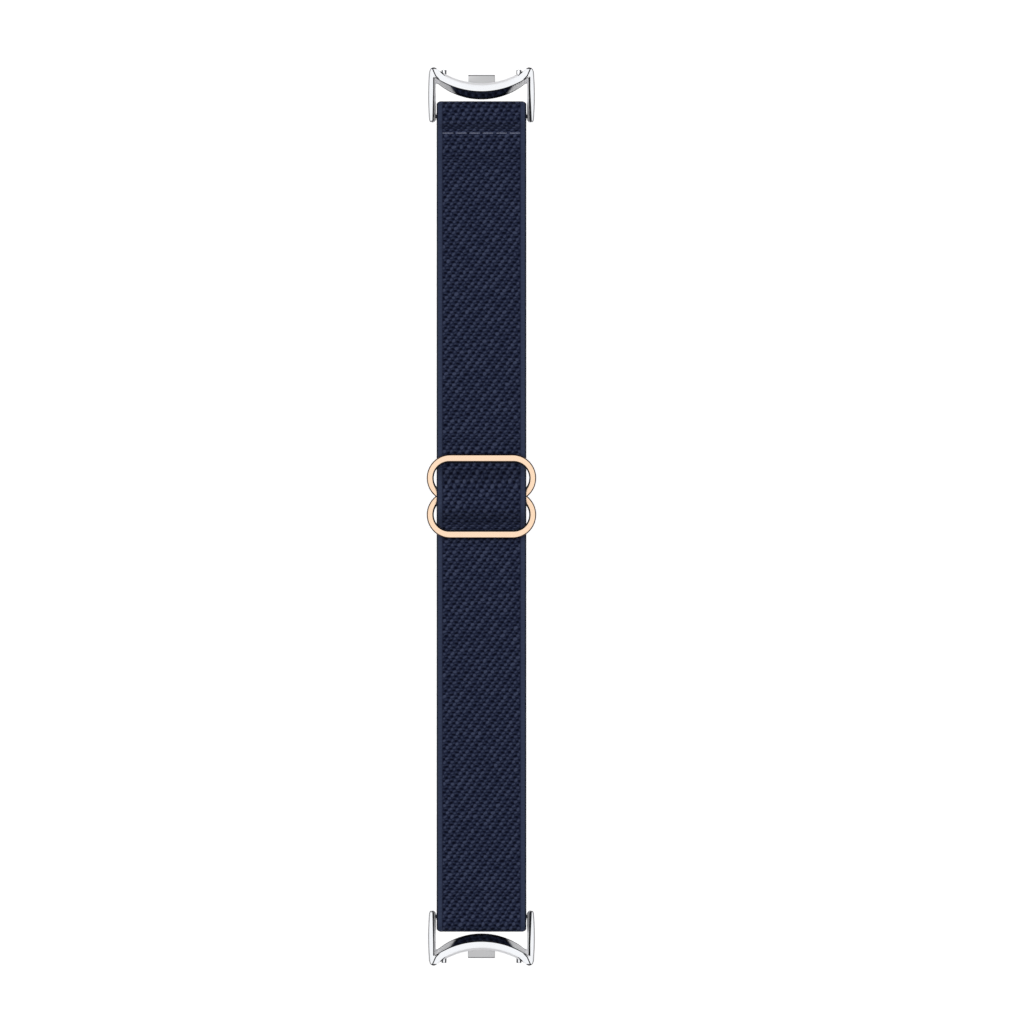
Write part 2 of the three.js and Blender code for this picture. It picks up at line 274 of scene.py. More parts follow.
class Shader:
    """A node tree, and the node that its values end in."""

    def __init__(self, owner, surface, **constants):
        owner.use_nodes = True
        self.owner = owner
        self.tree = owner.node_tree
        self.surface = self.tree.nodes[surface]
        for key, value in constants.items():
            self.surface.inputs[key.replace("_", " ")].default_value = value

    def add(self, kind, settings=None, *values, out=0, **named_values):
        """Any node: its settings and ramp stops first, then its sockets, by order or by name."""
        node = self.tree.nodes.new(kind)
        for key, value in (settings or {}).items():
            if key == "stops":
                self._set_stops(node.color_ramp.elements, value)
            else:
                setattr(node, key, value)
        sockets = list(zip(node.inputs, values))
        sockets += [(node.inputs[key.replace("_", " ")], value) for key, value in named_values.items()]
        for socket, value in sockets:
            source = getattr(value, "socket", value)
            if isinstance(source, bpy.types.NodeSocket):
                self.tree.links.new(source, socket)
            elif source is not None:
                socket.default_value = source
        return Value(self, node.outputs[out])

    def _set_stops(self, elements, stops):
        while len(elements) < len(stops):
            elements.new(0.5)
        for element, (position, colour) in zip(elements, stops):
            element.position = position
            element.color = (*colour, 1)

    def mix(self, factor, first, second):
        """Blends two colours."""
        first, second = ((*colour, 1) if isinstance(colour, tuple) else colour for colour in (first, second))
        unused = (None,) * 5
        return self.add("ShaderNodeMix", {"data_type": "RGBA"}, factor, *unused, first, second, out=2)

    def feed(self, socket_name, value):
        self.tree.links.new(value.socket, self.surface.inputs[socket_name])

    def bump(self, height, distance, strength=1.0):
        self.feed("Normal", self.add(
            "ShaderNodeBump", None, Strength=strength, Distance=distance, Height=height
        ))

    def object_point(self):
        return self.add("ShaderNodeTexCoord", None, out=3)

    def split(self, vector):
        node = self.add("ShaderNodeSeparateXYZ", None, vector).socket.node
        return [Value(self, socket) for socket in node.outputs]

    def noise(self, vector, scale, detail=2.0, roughness=0.5):
        return self.add(
            "ShaderNodeTexNoise", None, Vector=vector, Scale=scale, Detail=detail, Roughness=roughness
        )


# ---------------------------------------------------------------- materials

def surface(name, **constants):
    return Shader(bpy.data.materials.new(name), "Principled BSDF", **constants)


def linear(red, green, blue):
    """A display colour, 0 to 255, as the linear values that sockets take."""
    def one(value):
        value /= 255
        return value / 12.92 if value <= 0.04045 else ((value + 0.055) / 1.055) ** 2.4
    return one(red), one(green), one(blue)


# Webbing colours. The knuckle and crown colours are painted highlights on the raised yarn; the pit, groove
# and rim colours are painted shade in the gaps, in the groove inside each selvage, along the edges and round
# the folds.
CLOTH = {
    "ground": (linear(18, 25, 51), linear(40, 48, 74)),
    "painted_knuckle_highlight": linear(60, 68, 93),
    "painted_highlight": linear(70, 78, 105),
    "painted_pit_shade": linear(1, 5, 28),
    "selvage": (linear(50, 58, 82), linear(66, 76, 104)),
    "groove": linear(14, 18, 42),
    "rim": linear(8, 11, 20),
}


def woven_cloth():
    """Navy twill, with painted highlights on the raised floats and knuckles and painted shade in the pits, in
    the groove inside each selvage, along the edges and round the folds. The map holds millimetres across the
    strap and along it.
    """
    cloth = surface("navy_webbing", Roughness=0.85, Sheen_Weight=0.03, Sheen_Roughness=0.5,
                    Sheen_Tint=(0.6, 0.68, 1.0, 1), Specular_IOR_Level=0.12)
    place = cloth.add("ShaderNodeUVMap", {"uv_map": "weave"})
    across, along, _ = cloth.split(place)
    drawn_across, drawn_along = (
        sum(((across * ku + along * kv + phase).sine() * size for size, ku, kv, phase in waves), start)
        for start, waves in ((across, WAVER_ACROSS), (along, WAVER_ALONG))
    )
    row = (drawn_along / ROW_PITCH).round()
    lane = (drawn_across - row * ROW_SHIFT) / FLOAT_PITCH
    number = lane.round()
    cell = cloth.add("ShaderNodeCombineXYZ", None, number, row, 0.0)
    chance = cloth.add("ShaderNodeTexWhiteNoise", {"noise_dimensions": "3D"}, Vector=cell, out=0)
    side = (lane - number) * FLOAT_PITCH
    up = drawn_along - row * ROW_PITCH
    lean, upright = math.sin(FLOAT["lean"]), math.cos(FLOAT["lean"])
    length = side * upright - up * lean
    breadth = side * lean + up * upright
    fat = 0.72 + chance * 0.45
    crown = 1 - (length / (fat * FLOAT["half_across"])) ** 2 - (breadth / (fat * FLOAT["half_up"])) ** 2
    crown = crown.most(0.0)

    def spot(shape):
        spot_lane = lane - shape["lane"]
        spot_side = (spot_lane - spot_lane.round()) * (FLOAT_PITCH / shape["half_across"])
        spot_up = (up - shape["up"]) * (1 / shape["half_up"])
        return 1 - (spot_side ** 2 + spot_up ** 2).sqrt().rise(0.35, 1.15)

    strands = cloth.add("ShaderNodeVectorMath", {"operation": "MULTIPLY"}, place, (2.2, 3.0, 1.0))
    fibre = cloth.noise(strands, 1.8, detail=3.0, roughness=0.75)
    # Painted highlights: the crowns of the floats and the knuckles are painted lighter, as where light falls
    # on raised yarn; each float's share also varies at random.
    painted_highlight = crown.rise(0.0, 0.8) * (0.1 + chance * 0.25 + fibre * 1.1)
    woven = cloth.mix(fibre.rise(0.3, 0.72), *CLOTH["ground"])
    woven = cloth.mix(spot(KNUCKLE) * (fibre + 0.1), woven, CLOTH["painted_knuckle_highlight"])
    woven = cloth.mix(painted_highlight, woven, CLOTH["painted_highlight"])
    # Painted shade: the gaps between the floats are painted dark.
    woven = cloth.mix(spot(PAINTED_PIT_SPOT) * (1.45 - fibre * 0.6), woven, CLOTH["painted_pit_shade"])

    edge = WEB_WIDTH / 2 - SELVAGE
    reach = abs(across)
    border = reach.rise(edge - 0.05, edge + 0.12)
    groove = 1 - abs(reach - edge).rise(0.05, 0.28)
    rim = reach.rise(WEB_WIDTH / 2 - 0.4, WEB_WIDTH / 2 - 0.15)
    rib = (along * (2 * math.pi / ROW_PITCH)).sine() * 0.5 + 0.5
    selvage = cloth.mix(rib * 0.25 + fibre * 0.5, *CLOTH["selvage"])
    colour = cloth.mix(border, woven, selvage)
    # Painted shade in the groove inside each selvage.
    colour = cloth.mix(groove * 0.45, colour, CLOTH["groove"])
    # Painted shade: the strap's rounded edges and the ends of its two folds are painted dark.
    for fold in FOLDS:
        rim = rim.most(1 - abs(along - fold).rise(0.35, 0.75))
    colour = cloth.mix(rim * 0.85, colour, CLOTH["rim"])
    cloth.feed("Base Color", colour)
    cloth.bump(fibre * 0.5 + crown * 0.4, 0.00006, 0.7)
    return cloth.owner


def stitching_thread():
    thread = surface("seam_thread", Roughness=0.7, Sheen_Weight=0.3)
    point = thread.object_point()
    twist = thread.add("ShaderNodeTexWave", {"bands_direction": "DIAGONAL"}, Vector=point, Scale=900.0,
                       Distortion=1.0)
    thread.feed("Base Color", thread.mix(twist, linear(118, 124, 152), linear(140, 146, 174)))
    thread.bump(twist, 0.00005, 0.6)
    return thread.owner


def arch_painted_reflection():
    """A painted reflection on the arch's sloped back: in the middle a dimmed metal that mirrors the strap
    darker, towards the cheeks a rough, nearly matt pale tone, painted greyer on the half towards -x.
    """
    finish = surface("painted_arch_reflection")
    x, _, z = finish.split(finish.object_point())
    level = (abs(z * (1 / MM) - PIN_Z) - ARCH_BACK_HALF) / (FRAME_HALF - ARCH_BACK_HALF)
    grey = (abs(x) * (1 / MM) - level * 1.5).rise(4.9, 6.1)
    pale = finish.mix(x.rise(-MM, MM), (0.82, 0.82, 0.83), (1.0, 1.0, 1.0))
    finish.feed("Base Color", finish.mix(grey, (0.42, 0.43, 0.45), pale))
    finish.feed("Metallic", 1 - grey * 0.95)
    finish.feed("Roughness", grey * 0.35 + 0.12)
    return finish.owner


# A near-matt surface in one fixed tone: a painted reflection, standing in for what a chrome slope mirrors.
def painted_reflection_surface(name, level):
    return surface(name, Base_Color=(level, level, level * 1.02, 1), Metallic=0.1, Roughness=0.45).owner


def metal(name, colour, roughness, wear=0.04, grain=0.0):
    """Polished or satin metal, with faint handling marks."""
    finish = surface(name, Metallic=1.0)
    point = finish.object_point()
    cloud = finish.noise(point, 180.0, detail=3.0)
    shade = tuple(min(1.0, value * 0.94) for value in colour)
    finish.feed("Base Color", finish.mix(cloud, colour, shade))
    marks = finish.noise(point, 2600.0, detail=2.0)
    finish.feed("Roughness", (cloud * wear + marks * wear) + (roughness - wear))
    if grain:
        finish.bump(marks, 0.00001, grain)
    return finish.owner


THREAD = stitching_thread()
CHROME = metal("polished_chrome", (0.90, 0.915, 0.935), 0.07)
# Near-black paint for painted shade and painted dark reflections: the lines along the connectors' edges, the
# tongue's tip, the dowels' sides, the cheek creases and the slider's inner edges.
PAINTED_SHADE_LINE = surface("painted_shade_line", Base_Color=(0.012, 0.012, 0.015, 1), Roughness=0.5,
                     Specular_IOR_Level=0.2).owner
ROSE_GOLD = metal("rose_gold", linear(253, 221, 190), 0.16)
# Rose gold darkened as a painted dark reflection, for the slider's outer edges.
ROSE_GOLD_PAINTED_REFLECTION = metal("rose_gold_painted_reflection", linear(58, 38, 30), 0.3)
# Painted reflections on the connectors' slopes, each in the tone that slope mirrors.
PAINTED_GREY_REFLECTION = painted_reflection_surface("painted_grey_reflection", 0.92)
PAINTED_PALE_REFLECTION = painted_reflection_surface("painted_pale_reflection", 0.98)
PAINTED_RIM_REFLECTION = painted_reflection_surface("painted_rim_reflection", 0.4)
PAINTED_FRONT_REFLECTION = painted_reflection_surface("painted_front_reflection", 0.98)
SATIN_CHROME = metal("satin_chrome", (0.545, 0.545, 0.55), 0.28, grain=0.1)
PAINTED_ARCH_REFLECTION = arch_painted_reflection()
SATIN = metal("satin_steel", (0.62, 0.63, 0.64), 0.3, grain=0.15)
# Steel painted dark as shade, for the spring bars' barrels and tips.
PAINTED_SHADE_STEEL = metal("dark_steel", (0.10, 0.105, 0.12), 0.38, grain=0.15)


def dress(piece, material):
    piece.data.materials.clear()
    piece.data.materials.append(material)
    return piece


# ---------------------------------------------------------------- the strap's route

class Route:
    """A path seen from the side: y along the band and z up, closely sampled."""

    GRAIN = 0.05

    def __init__(self, y, z):
        self.points = [np.array([[y, z]], float)]
        self.marks = {}

    def end(self):
        return self.points[-1][-1]

    def length(self):
        path = np.concatenate(self.points)
        return np.hypot(*np.diff(path, axis=0).T).sum()

    def mark(self, name):
        self.marks[name] = self.length()
        return self

    def _extend(self, path):
        self.points.append(path[1:])
        return self

    def line(self, y, z=None):
        start = self.end()
        finish = np.array([y, start[1] if z is None else z])
        count = max(2, int(np.hypot(*(finish - start)) / self.GRAIN))
        share = np.linspace(0, 1, count)[:, None]
        return self._extend(start + (finish - start) * share)

    def step(self, y, z):
        """Level at both ends."""
        start = self.end()
        middle = (start[0] + y) / 2
        share = np.linspace(0, 1, 120)[:, None]
        hold = [start, np.array([middle, start[1]]), np.array([middle, z]), np.array([y, z])]
        path = sum(
            weight * share ** power * (1 - share) ** (3 - power) * point
            for power, (weight, point) in enumerate(zip((1, 3, 3, 1), hold))
        )
        return self._extend(path)

    def arc(self, centre, radius, first, last):
        count = max(8, int(abs(last - first) * radius / self.GRAIN))
        angle = np.linspace(first, last, count)
        path = np.column_stack([centre[0] + radius * np.cos(angle), centre[1] + radius * np.sin(angle)])
        return self._extend(path)

    def done(self):
        path = np.concatenate(self.points)
        keep = np.r_[True, np.hypot(*np.diff(path, axis=0).T) > 1e-6]
        path = path[keep]
        self.run = np.r_[0, np.cumsum(np.hypot(*np.diff(path, axis=0).T))]
        self.path = path
        tangent = np.gradient(path, self.run, axis=0)
        tangent /= np.hypot(*tangent.T)[:, None]
        self.normal = np.column_stack([tangent[:, 1], -tangent[:, 0]])
        return self

    def at(self, run):
        """Points and outward normals at distances along the path."""
        point = np.column_stack([np.interp(run, self.run, self.path[:, i]) for i in (0, 1)])
        normal = np.column_stack([np.interp(run, self.run, self.normal[:, i]) for i in (0, 1)])
        return point, normal / np.hypot(*normal.T)[:, None]


def strap_route():
    """The whole strap, from the tail sewn at end A to the tail sewn round the centre bar."""
    quarter = math.pi / 2
    over_z = PIN_Z + TURN_RADIUS
    bar_z = BAR_Z - BAR_TURN
    top_y = BAR_SHIFT + BRIDGE_RADIUS * math.sin(BRIDGE_SLOPE)
    top_z = BAR_Z + BRIDGE_RADIUS * math.cos(BRIDGE_SLOPE)
    rise = BRIDGE_FILLET * (1 - math.cos(BRIDGE_SLOPE))
    slope_run = (top_z - FRONT_Z - rise) / math.tan(BRIDGE_SLOPE)
    foot = top_y + slope_run + BRIDGE_FILLET * math.sin(BRIDGE_SLOPE)

    route = Route(TAIL_END, BACK_Z)
    route.line(TURN_Y)
    route.arc((TURN_Y, PIN_Z), TURN_RADIUS, -quarter, 0).mark("fold_a")
    route.arc((TURN_Y, PIN_Z), TURN_RADIUS, 0, quarter)
    route.line(PIN_Y + TURN_LEVEL["sewn"])
    route.step(SEW_FLAT, SEW_Z)
    route.line(SEW_STEP[1])
    route.step(SEW_STEP[0], BACK_Z)
    for station in A_CUTS:
        route.line(station).mark(("a", station))
    route.line(MID_STEP[1])
    route.step(MID_STEP[0], FRONT_Z)
    route.line(SLIDER_Y + BRIDGE_HALF).mark("bridge_start")
    route.line(SLIDER_Y + foot)
    fillet_z = FRONT_Z + BRIDGE_FILLET
    route.arc((SLIDER_Y + foot, fillet_z), BRIDGE_FILLET, -quarter, -quarter - BRIDGE_SLOPE)
    route.arc((SLIDER_Y + BAR_SHIFT, BAR_Z), BRIDGE_RADIUS, quarter - BRIDGE_SLOPE, quarter)
    route.arc((SLIDER_Y - BAR_SHIFT, BAR_Z), BRIDGE_RADIUS, quarter, quarter + BRIDGE_SLOPE)
    route.arc((SLIDER_Y - foot, fillet_z), BRIDGE_FILLET, BRIDGE_SLOPE - quarter, -quarter)
    route.line(SLIDER_Y - BRIDGE_HALF).mark("bridge_end")
    for station in B_CUTS:
        route.line(station).mark(("front", station))
    route.line(-TURN_STEP)
    route.step(-PIN_Y - TURN_LEVEL["free"], over_z)
    route.line(-TURN_Y)
    route.arc((-TURN_Y, PIN_Z), TURN_RADIUS, quarter, 2 * quarter).mark("fold_b")
    route.arc((-TURN_Y, PIN_Z), TURN_RADIUS, 2 * quarter, 3 * quarter)
    for station in reversed(B_CUTS):
        route.line(station).mark(("back", station))
    route.line(SLIDER_Y - BRIDGE_HALF).mark("tail_start")
    route.line(SLIDER_Y + LEAD_STEP[0])
    route.step(SLIDER_Y + LEAD_STEP[1], bar_z)
    route.line(SLIDER_Y + BAR_SHIFT)
    route.arc((SLIDER_Y + BAR_SHIFT, BAR_Z), BAR_TURN, -quarter, quarter)
    route.arc((SLIDER_Y - BAR_SHIFT, BAR_Z), BAR_TURN, quarter, 3 * quarter)
    route.line(SLIDER_Y + LEAD_STEP[1]).mark("end")
    return route.done()


def between(stations):
    return [(first + second) / 2 for first, second in zip(stations, stations[1:])]


a_lines = sorted((FLEX[name] for name in FLEX if name.startswith("curl_a")), reverse=True)
b_lines = sorted((FLEX[name] for name in FLEX if name.startswith("curl_b")), reverse=True)
a_middles = between(a_lines)
b_middles = between(b_lines)
A_REACH = (a_lines[0] - a_lines[1]) / 2
B_REACH = (b_lines[0] - b_lines[1]) / 2
A_CUTS = [*a_middles, a_lines[-1] - A_REACH]
B_CUTS = [b_lines[0] + B_REACH, *b_middles]

ROUTE = strap_route()
FOLDS = ROUTE.marks["fold_a"], ROUTE.marks["fold_b"]
NAVY = woven_cloth()


# ---------------------------------------------------------------- webbing

def waver(across, along, waves):
    return sum(size * np.sin(across * ku + along * kv + phase) for size, ku, kv, phase in waves)


def bumps(across, along, lane, up, half_across, half_up, lean=0.0):
    """Rounded yarn crossings, 0 to 1, on the woven lattice, with a little chance in each."""
    height = np.zeros_like(across)
    nearest = np.round(along / ROW_PITCH)
    for row in (nearest - 1, nearest, nearest + 1):
        place = (across - row * ROW_SHIFT) / FLOAT_PITCH - lane
        number = np.round(place)
        side = (place - number) * FLOAT_PITCH
        rise = along - row * ROW_PITCH - up
        length = side * math.cos(lean) - rise * math.sin(lean)
        breadth = side * math.sin(lean) + rise * math.cos(lean)
        chance = np.modf(np.abs(np.sin(number * 12.9898 + row * 78.233) * 43758.5453))[0]
        dome = np.clip(1 - (length / half_across) ** 2 - (breadth / half_up) ** 2, 0, None) ** 0.75
        height = np.maximum(height, dome * (0.75 + 0.25 * chance))
    return height


def weave_height(across, along):
    """The cloth's height above its pits, 0 to 1."""
    drawn = across + waver(across, along, WAVER_ACROSS), along + waver(across, along, WAVER_ALONG)
    floats = bumps(*drawn, 0.0, 0.0, FLOAT["half_across"] + 0.1, FLOAT["half_up"] + 0.08, FLOAT["lean"])
    knuckles = 0.6 * bumps(*drawn, *KNUCKLE.values())
    woven = np.maximum(floats, knuckles)
    edge = WEB_WIDTH / 2 - SELVAGE
    ribs = 0.78 + 0.06 * np.sin(2 * math.pi * along / ROW_PITCH)
    border = np.clip((np.abs(across) - edge) / 0.15, 0, 1)
    groove = np.exp(-(((np.abs(across) - edge) / 0.16) ** 2))
    return (woven * (1 - border) + ribs * border) * (1 - 0.5 * groove)


def section(reach):
    """Across the strap: a point and normal for a distance from its middle, round the edge to mid height."""
    flat = WEB_WIDTH / 2 - EDGE_ROUND
    side = np.sign(reach)
    past = np.abs(reach) - flat
    angle = np.clip(past / EDGE_ROUND, 0, math.pi / 2)
    below = np.clip(past - EDGE_ROUND * math.pi / 2, 0, None)
    x = np.minimum(np.abs(reach), flat) + EDGE_ROUND * np.sin(angle)
    z = HALF - EDGE_ROUND * (1 - np.cos(angle)) - below
    return side * x, z, side * np.sin(angle), np.cos(angle)


def strip(name, first, last, phase=None):
    """A closed length of webbing between two distances along the route."""
    girth = WEB_WIDTH / 2 - EDGE_ROUND + EDGE_ROUND * math.pi / 2 + HALF - EDGE_ROUND
    columns = int(round(2 * girth / (FLOAT_PITCH / MESH_PER_FLOAT)))
    rows = max(4, int(round((last - first) / (ROW_PITCH / MESH_PER_ROW))))
    deselect()
    bpy.ops.mesh.primitive_grid_add(x_subdivisions=columns, y_subdivisions=rows, size=2, location=(0, 0, 0))
    piece = named(name)
    edit(piece)
    bpy.ops.mesh.select_all(action="SELECT")
    bpy.ops.mesh.extrude_region_move(TRANSFORM_OT_translate={"value": (0, 0, -2)})
    leave_edit()

    grid = corners(piece)
    face = np.where(grid[:, 2] > -1, 1.0, -1.0)
    reach = grid[:, 0] * girth
    run = first + (grid[:, 1] + 1) / 2 * (last - first)
    along = phase(run) if phase else run
    x, z, nx, nz = section(reach)
    rim = np.clip((girth - np.abs(reach)) / 0.3, 0, 1)
    fold = max((np.exp(-(((run - middle) / FOLD_REACH) ** 4)) for middle in FOLDS), key=np.max)
    sink = RELIEF * ((1 - weave_height(reach, along)) * (1 - fold) + FOLD_DEPTH * fold) * rim
    x = x - sink * nx
    z = z - sink * nz
    point, normal = ROUTE.at(run)
    side_view = point + (face * z)[:, None] * normal
    short = np.clip(np.abs(side_view[:, 0]) - (END_Y - CORNER), 0, CORNER)
    x = x * (1 - (CORNER - np.sqrt(CORNER ** 2 - short ** 2)) / (WEB_WIDTH / 2))
    place_corners(piece, MM * np.column_stack([x, side_view]))

    weave = piece.data.uv_layers.new(name="weave")
    index = np.empty(len(piece.data.loops), np.int32)
    piece.data.loops.foreach_get("vertex_index", index)
    weave.data.foreach_set("uv", np.column_stack([reach, along])[index].astype(np.float32).ravel())
    for other in [layer for layer in piece.data.uv_layers if layer.name != "weave"]:
        piece.data.uv_layers.remove(other)
    tidy_shell(piece, 1e-7)
    smooth(piece, 60)
    dress(piece, NAVY)
    return piece


def mark_run(key):
    return ROUTE.marks[key]


def along_y(y, z=0.0):
    return 0, y * MM, z * MM


def hinge_blend(piece, middle, reach):
    """Works out two points either side of one flex line, which nothing uses, and bakes the strip's placement
    into its mesh.
    """
    outward = math.copysign(BEND_SHARE * reach, middle)
    along_y(middle - outward)
    along_y(middle + outward)
    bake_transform(piece)


def webbing_end_a():
    piece = strip("woven_loop_a", 0, mark_run(("a", A_CUTS[0])))
    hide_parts("webbing_loop_a")
    hinge_blend(piece, a_lines[0], A_REACH)
    for number in (3, 2, 1):
        cut = 3 - number
        first, last = (mark_run(("a", station)) for station in A_CUTS[cut:cut + 2])
        piece = strip(f"woven_upper_{number}", first, last)
        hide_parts(f"webbing_upper_{number}")
        hinge_blend(piece, a_lines[4 - number], A_REACH)


def webbing_middle():
    piece = strip("woven_mid", mark_run(("a", A_CUTS[-1])), mark_run("bridge_start"))
    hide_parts("webbing_mid")
    start, end = along_y(MID_STEP[1] + 0.5, BACK_Z), along_y(A_CUTS[-1] - 0.2, BACK_Z)
    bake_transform(piece)


def bridge_phase(run):
    """Seen from above, the rows are drawn out where the strap enters and bunched where it leaves."""
    first, last = mark_run("bridge_start"), mark_run("bridge_end")
    route_y = ROUTE.at(run)[0][:, 0]
    share = (SLIDER_Y + BRIDGE_HALF - route_y) / (2 * BRIDGE_HALF)
    pitch_start, pitch_end = BRIDGE_PITCH
    rows = 2 * BRIDGE_HALF * share / (pitch_start + (pitch_end - pitch_start) * share)
    return first + rows * ROW_PITCH


def webbing_slider():
    piece = strip("woven_bridge", mark_run("bridge_start"), mark_run("bridge_end"), bridge_phase)
    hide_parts("webbing_bridge")
    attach(piece, "slider")
    piece = strip("woven_tail_loop", mark_run("tail_start"), mark_run("end"))
    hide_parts("webbing_tail_loop")
    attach(piece, "slider")


def webbing_end_b():
    ends = {"front": mark_run("bridge_end"), "back": mark_run("tail_start")}
    for layer, near_end in ends.items():
        stations = [near_end, *(mark_run((layer, station)) for station in B_CUTS)]
        for number, (near, far) in enumerate(zip(stations, stations[1:]), start=1):
            first, last = sorted((near, far))
            piece = strip(f"woven_{layer}_{number}", first, last)
            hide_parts(f"webbing_{layer}_{number}")
            if number == 1:
                start, end = along_y(SLIDER_Y - BRIDGE_HALF - 0.5), along_y(B_CUTS[0] + 0.3)
                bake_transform(piece)
            else:
                parent, child = f"strap_b_{number - 1}", f"strap_b_{number}"
                hinge_blend(piece, b_lines[number - 2], B_REACH)
    piece = strip("woven_loop_b", mark_run(("front", B_CUTS[-1])), mark_run(("back", B_CUTS[-1])))
    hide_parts("webbing_loop_b")
    hinge_blend(piece, b_lines[-1], B_REACH)


# ---------------------------------------------------------------- connectors

# in a connector's own frame, in millimetres: its spring bar lies along X, the tracker is towards +Y
CHEEK_IN = 9.88
CHEEK_OUT = 11.35
CHEEK_BELLY = (11.75, 4.5)
CHEEK_SHOULDER = 9.5
HORN_BEND = (11.2, 10.55)
HORN = (10.35, 10.62)
HORN_LEAD = (HORN[0] - 0.4, HORN[1] - 0.02)
HEEL_Y = -1.3
HEEL_ROUND = 0.5
HORN_ROUND = 0.5
CREASE = ((10.57, 10.3), (9.9, 8.78), (9.12, 7.95))
CREASE_WIDTH = 0.12
ARCH_FRONT = (7.22, 16.6)
ARCH_END = 9.6
ARCH_TOP = (5.48, 17.8)
ARCH_BACK = (3.67, 14.8)
# across the chamfer at the heel and at the arch, and its outer share that is painted dark; the wider one is
# for the cheek painted as the shaded side
INNER_CHAMFER = (0.74, 0.58, 0.43)
SHADED_CHAMFER = (0.99, 0.69, 0.54)
INNER_DEPTH = 1.3
# the painted dark line along the top edges, the one along the arch's middle, and how far out the pale painted
# reflection starts on the strap side
EDGE_LINE = 0.28
ARCH_LINE = 0.6 * EDGE_LINE
PALE_FROM = 9.15
# the slopes that get a painted reflection of their own: least and most tilt, from 0, upright, to 1, level
STRAP_SLOPE_TILT = (0.1, 0.93)
BAR_SLOPE_TILT = (0.05, 0.95)
HORN_SLOPE_TILT = (0.2, 0.92)
RIM_TILT = (0.1, 0.99)
# how squarely a face looks towards the strap, the spring bar or the tracker
LOOKS_TOWARDS = 0.3
RIM = 0.24
RIM_STEP = 0.1
FRONT_RIM = 0.5
RIM_FADE = 1.5
CHEEK_TAPER = 6.5
INNER_FILLET = 0.7
TONGUE = {"half": 2.95, "thick": 0.8, "root": 5.6, "tip": 8.95, "corner": 0.22}
DOWEL = {"x": 8.1, "radius": 0.55, "root": 7.7, "tip": 10.1}
DOWEL_NOSE = ((0.17, 0.0), (0.08, 0.03), (0.02, 0.09), (0.0, 0.17))
SOCKET = {"reach": (9.5, 10.95), "radius": 0.48}
# how far each level of the tongue's rounded edge lies below its top and inside its outline
TONGUE_EDGE = ((0.0, 0.15), (0.05, 0.05), (0.16, 0.0))
CLEARANCE = 0.15


def arc_y(arc, x):
    start, radius = arc
    return start + radius - np.sqrt(radius ** 2 - x ** 2)


def curve3(first, bend, last, count):
    """A quadratic curve's points, without the last."""
    share = np.linspace(0, 1, count, endpoint=False)[:, None]
    first, bend, last = (np.array(point, float) for point in (first, bend, last))
    return (1 - share) ** 2 * first + 2 * share * (1 - share) * bend + share ** 2 * last


def half_outline(z, chamfer):
    """Half of the connector's outline at one height, clockwise from the middle of its tracker side."""
    sloped = np.clip((FRAME_HALF - abs(z)) / (FRAME_HALF - ARCH_BACK_HALF), 0, 1)
    near_heel, near_arch, line_share = chamfer
    levels = (FRAME_HALF - INNER_DEPTH, FRAME_HALF - EDGE_LINE, FRAME_HALF)
    open_share = np.interp(abs(z), levels, (0, 1 - line_share, 1))
    rim = np.interp(abs(z), (FRAME_HALF - EDGE_LINE, FRAME_HALF - RIM_STEP, FRAME_HALF), (0, 0.3 * RIM, RIM))
    front_rim = np.interp(abs(z), (FRAME_HALF - EDGE_LINE, FRAME_HALF), (0, FRONT_RIM))
    out = CHEEK_OUT - rim
    heel = (CHEEK_OUT - CHEEK_IN) / 2
    heel_y = HEEL_Y + heel

    def wall_x(y):
        share = np.clip((y - heel_y) / CHEEK_TAPER, 0, 1)
        return CHEEK_IN + open_share * (near_heel + (near_arch - near_heel) * share)

    def strap_side(x):
        return arc_y(ARCH_TOP, x) * (1 - sloped) + arc_y(ARCH_BACK, x) * sloped

    x = np.linspace(0, ARCH_END, 28, endpoint=False)
    fade = np.clip((ARCH_END - x) / RIM_FADE, 0, 1)
    tracker_side = np.column_stack([x, arc_y(ARCH_FRONT, x) - front_rim * fade])
    tip = curve3((ARCH_END, arc_y(ARCH_FRONT, ARCH_END)), HORN_LEAD, HORN, 4)
    horn = curve3(HORN, (HORN_BEND[0] - rim, HORN_BEND[1] - rim / 2), (out, CHEEK_SHOULDER), 8)
    flank = curve3((out, CHEEK_SHOULDER), (CHEEK_BELLY[0] - rim, CHEEK_BELLY[1]), (out, heel_y), 16)
    turn = np.linspace(0, -math.pi, 16, endpoint=False)
    half = (out - wall_x(heel_y)) / 2
    heel_arc = np.column_stack([half * np.cos(turn), (heel - rim / 2) * np.sin(turn)])
    heel_round = heel_arc + (out - half, heel_y)
    inner_end = wall_x(heel_y + CHEEK_TAPER)
    corner = (inner_end, strap_side(inner_end))
    wall_y = np.linspace(heel_y, corner[1] - INNER_FILLET, 12, endpoint=False)
    wall = np.column_stack([wall_x(wall_y), wall_y])
    past = corner[0] - INNER_FILLET
    fillet = curve3((wall_x(corner[1]), corner[1] - INNER_FILLET), corner, (past, strap_side(past)), 8)
    x = np.linspace(past, 0, 28, endpoint=False)
    arch = np.column_stack([x, strap_side(x)])
    end = [[0, strap_side(0.0)]]
    return np.concatenate([tracker_side, tip, horn, flank, heel_round, wall, fillet, arch, end])


def frame_outline(z, side):
    """The whole outline at one height. The cheek on the shaded side, towards +x on the band, has the wider
    chamfer and so the wider painted dark line: painted shade on one side only.
    """
    right = half_outline(z, SHADED_CHAMFER if side > 0 else INNER_CHAMFER)
    left = half_outline(z, INNER_CHAMFER if side > 0 else SHADED_CHAMFER)
    return np.concatenate([right, left[-2:0:-1] * (-1, 1)])


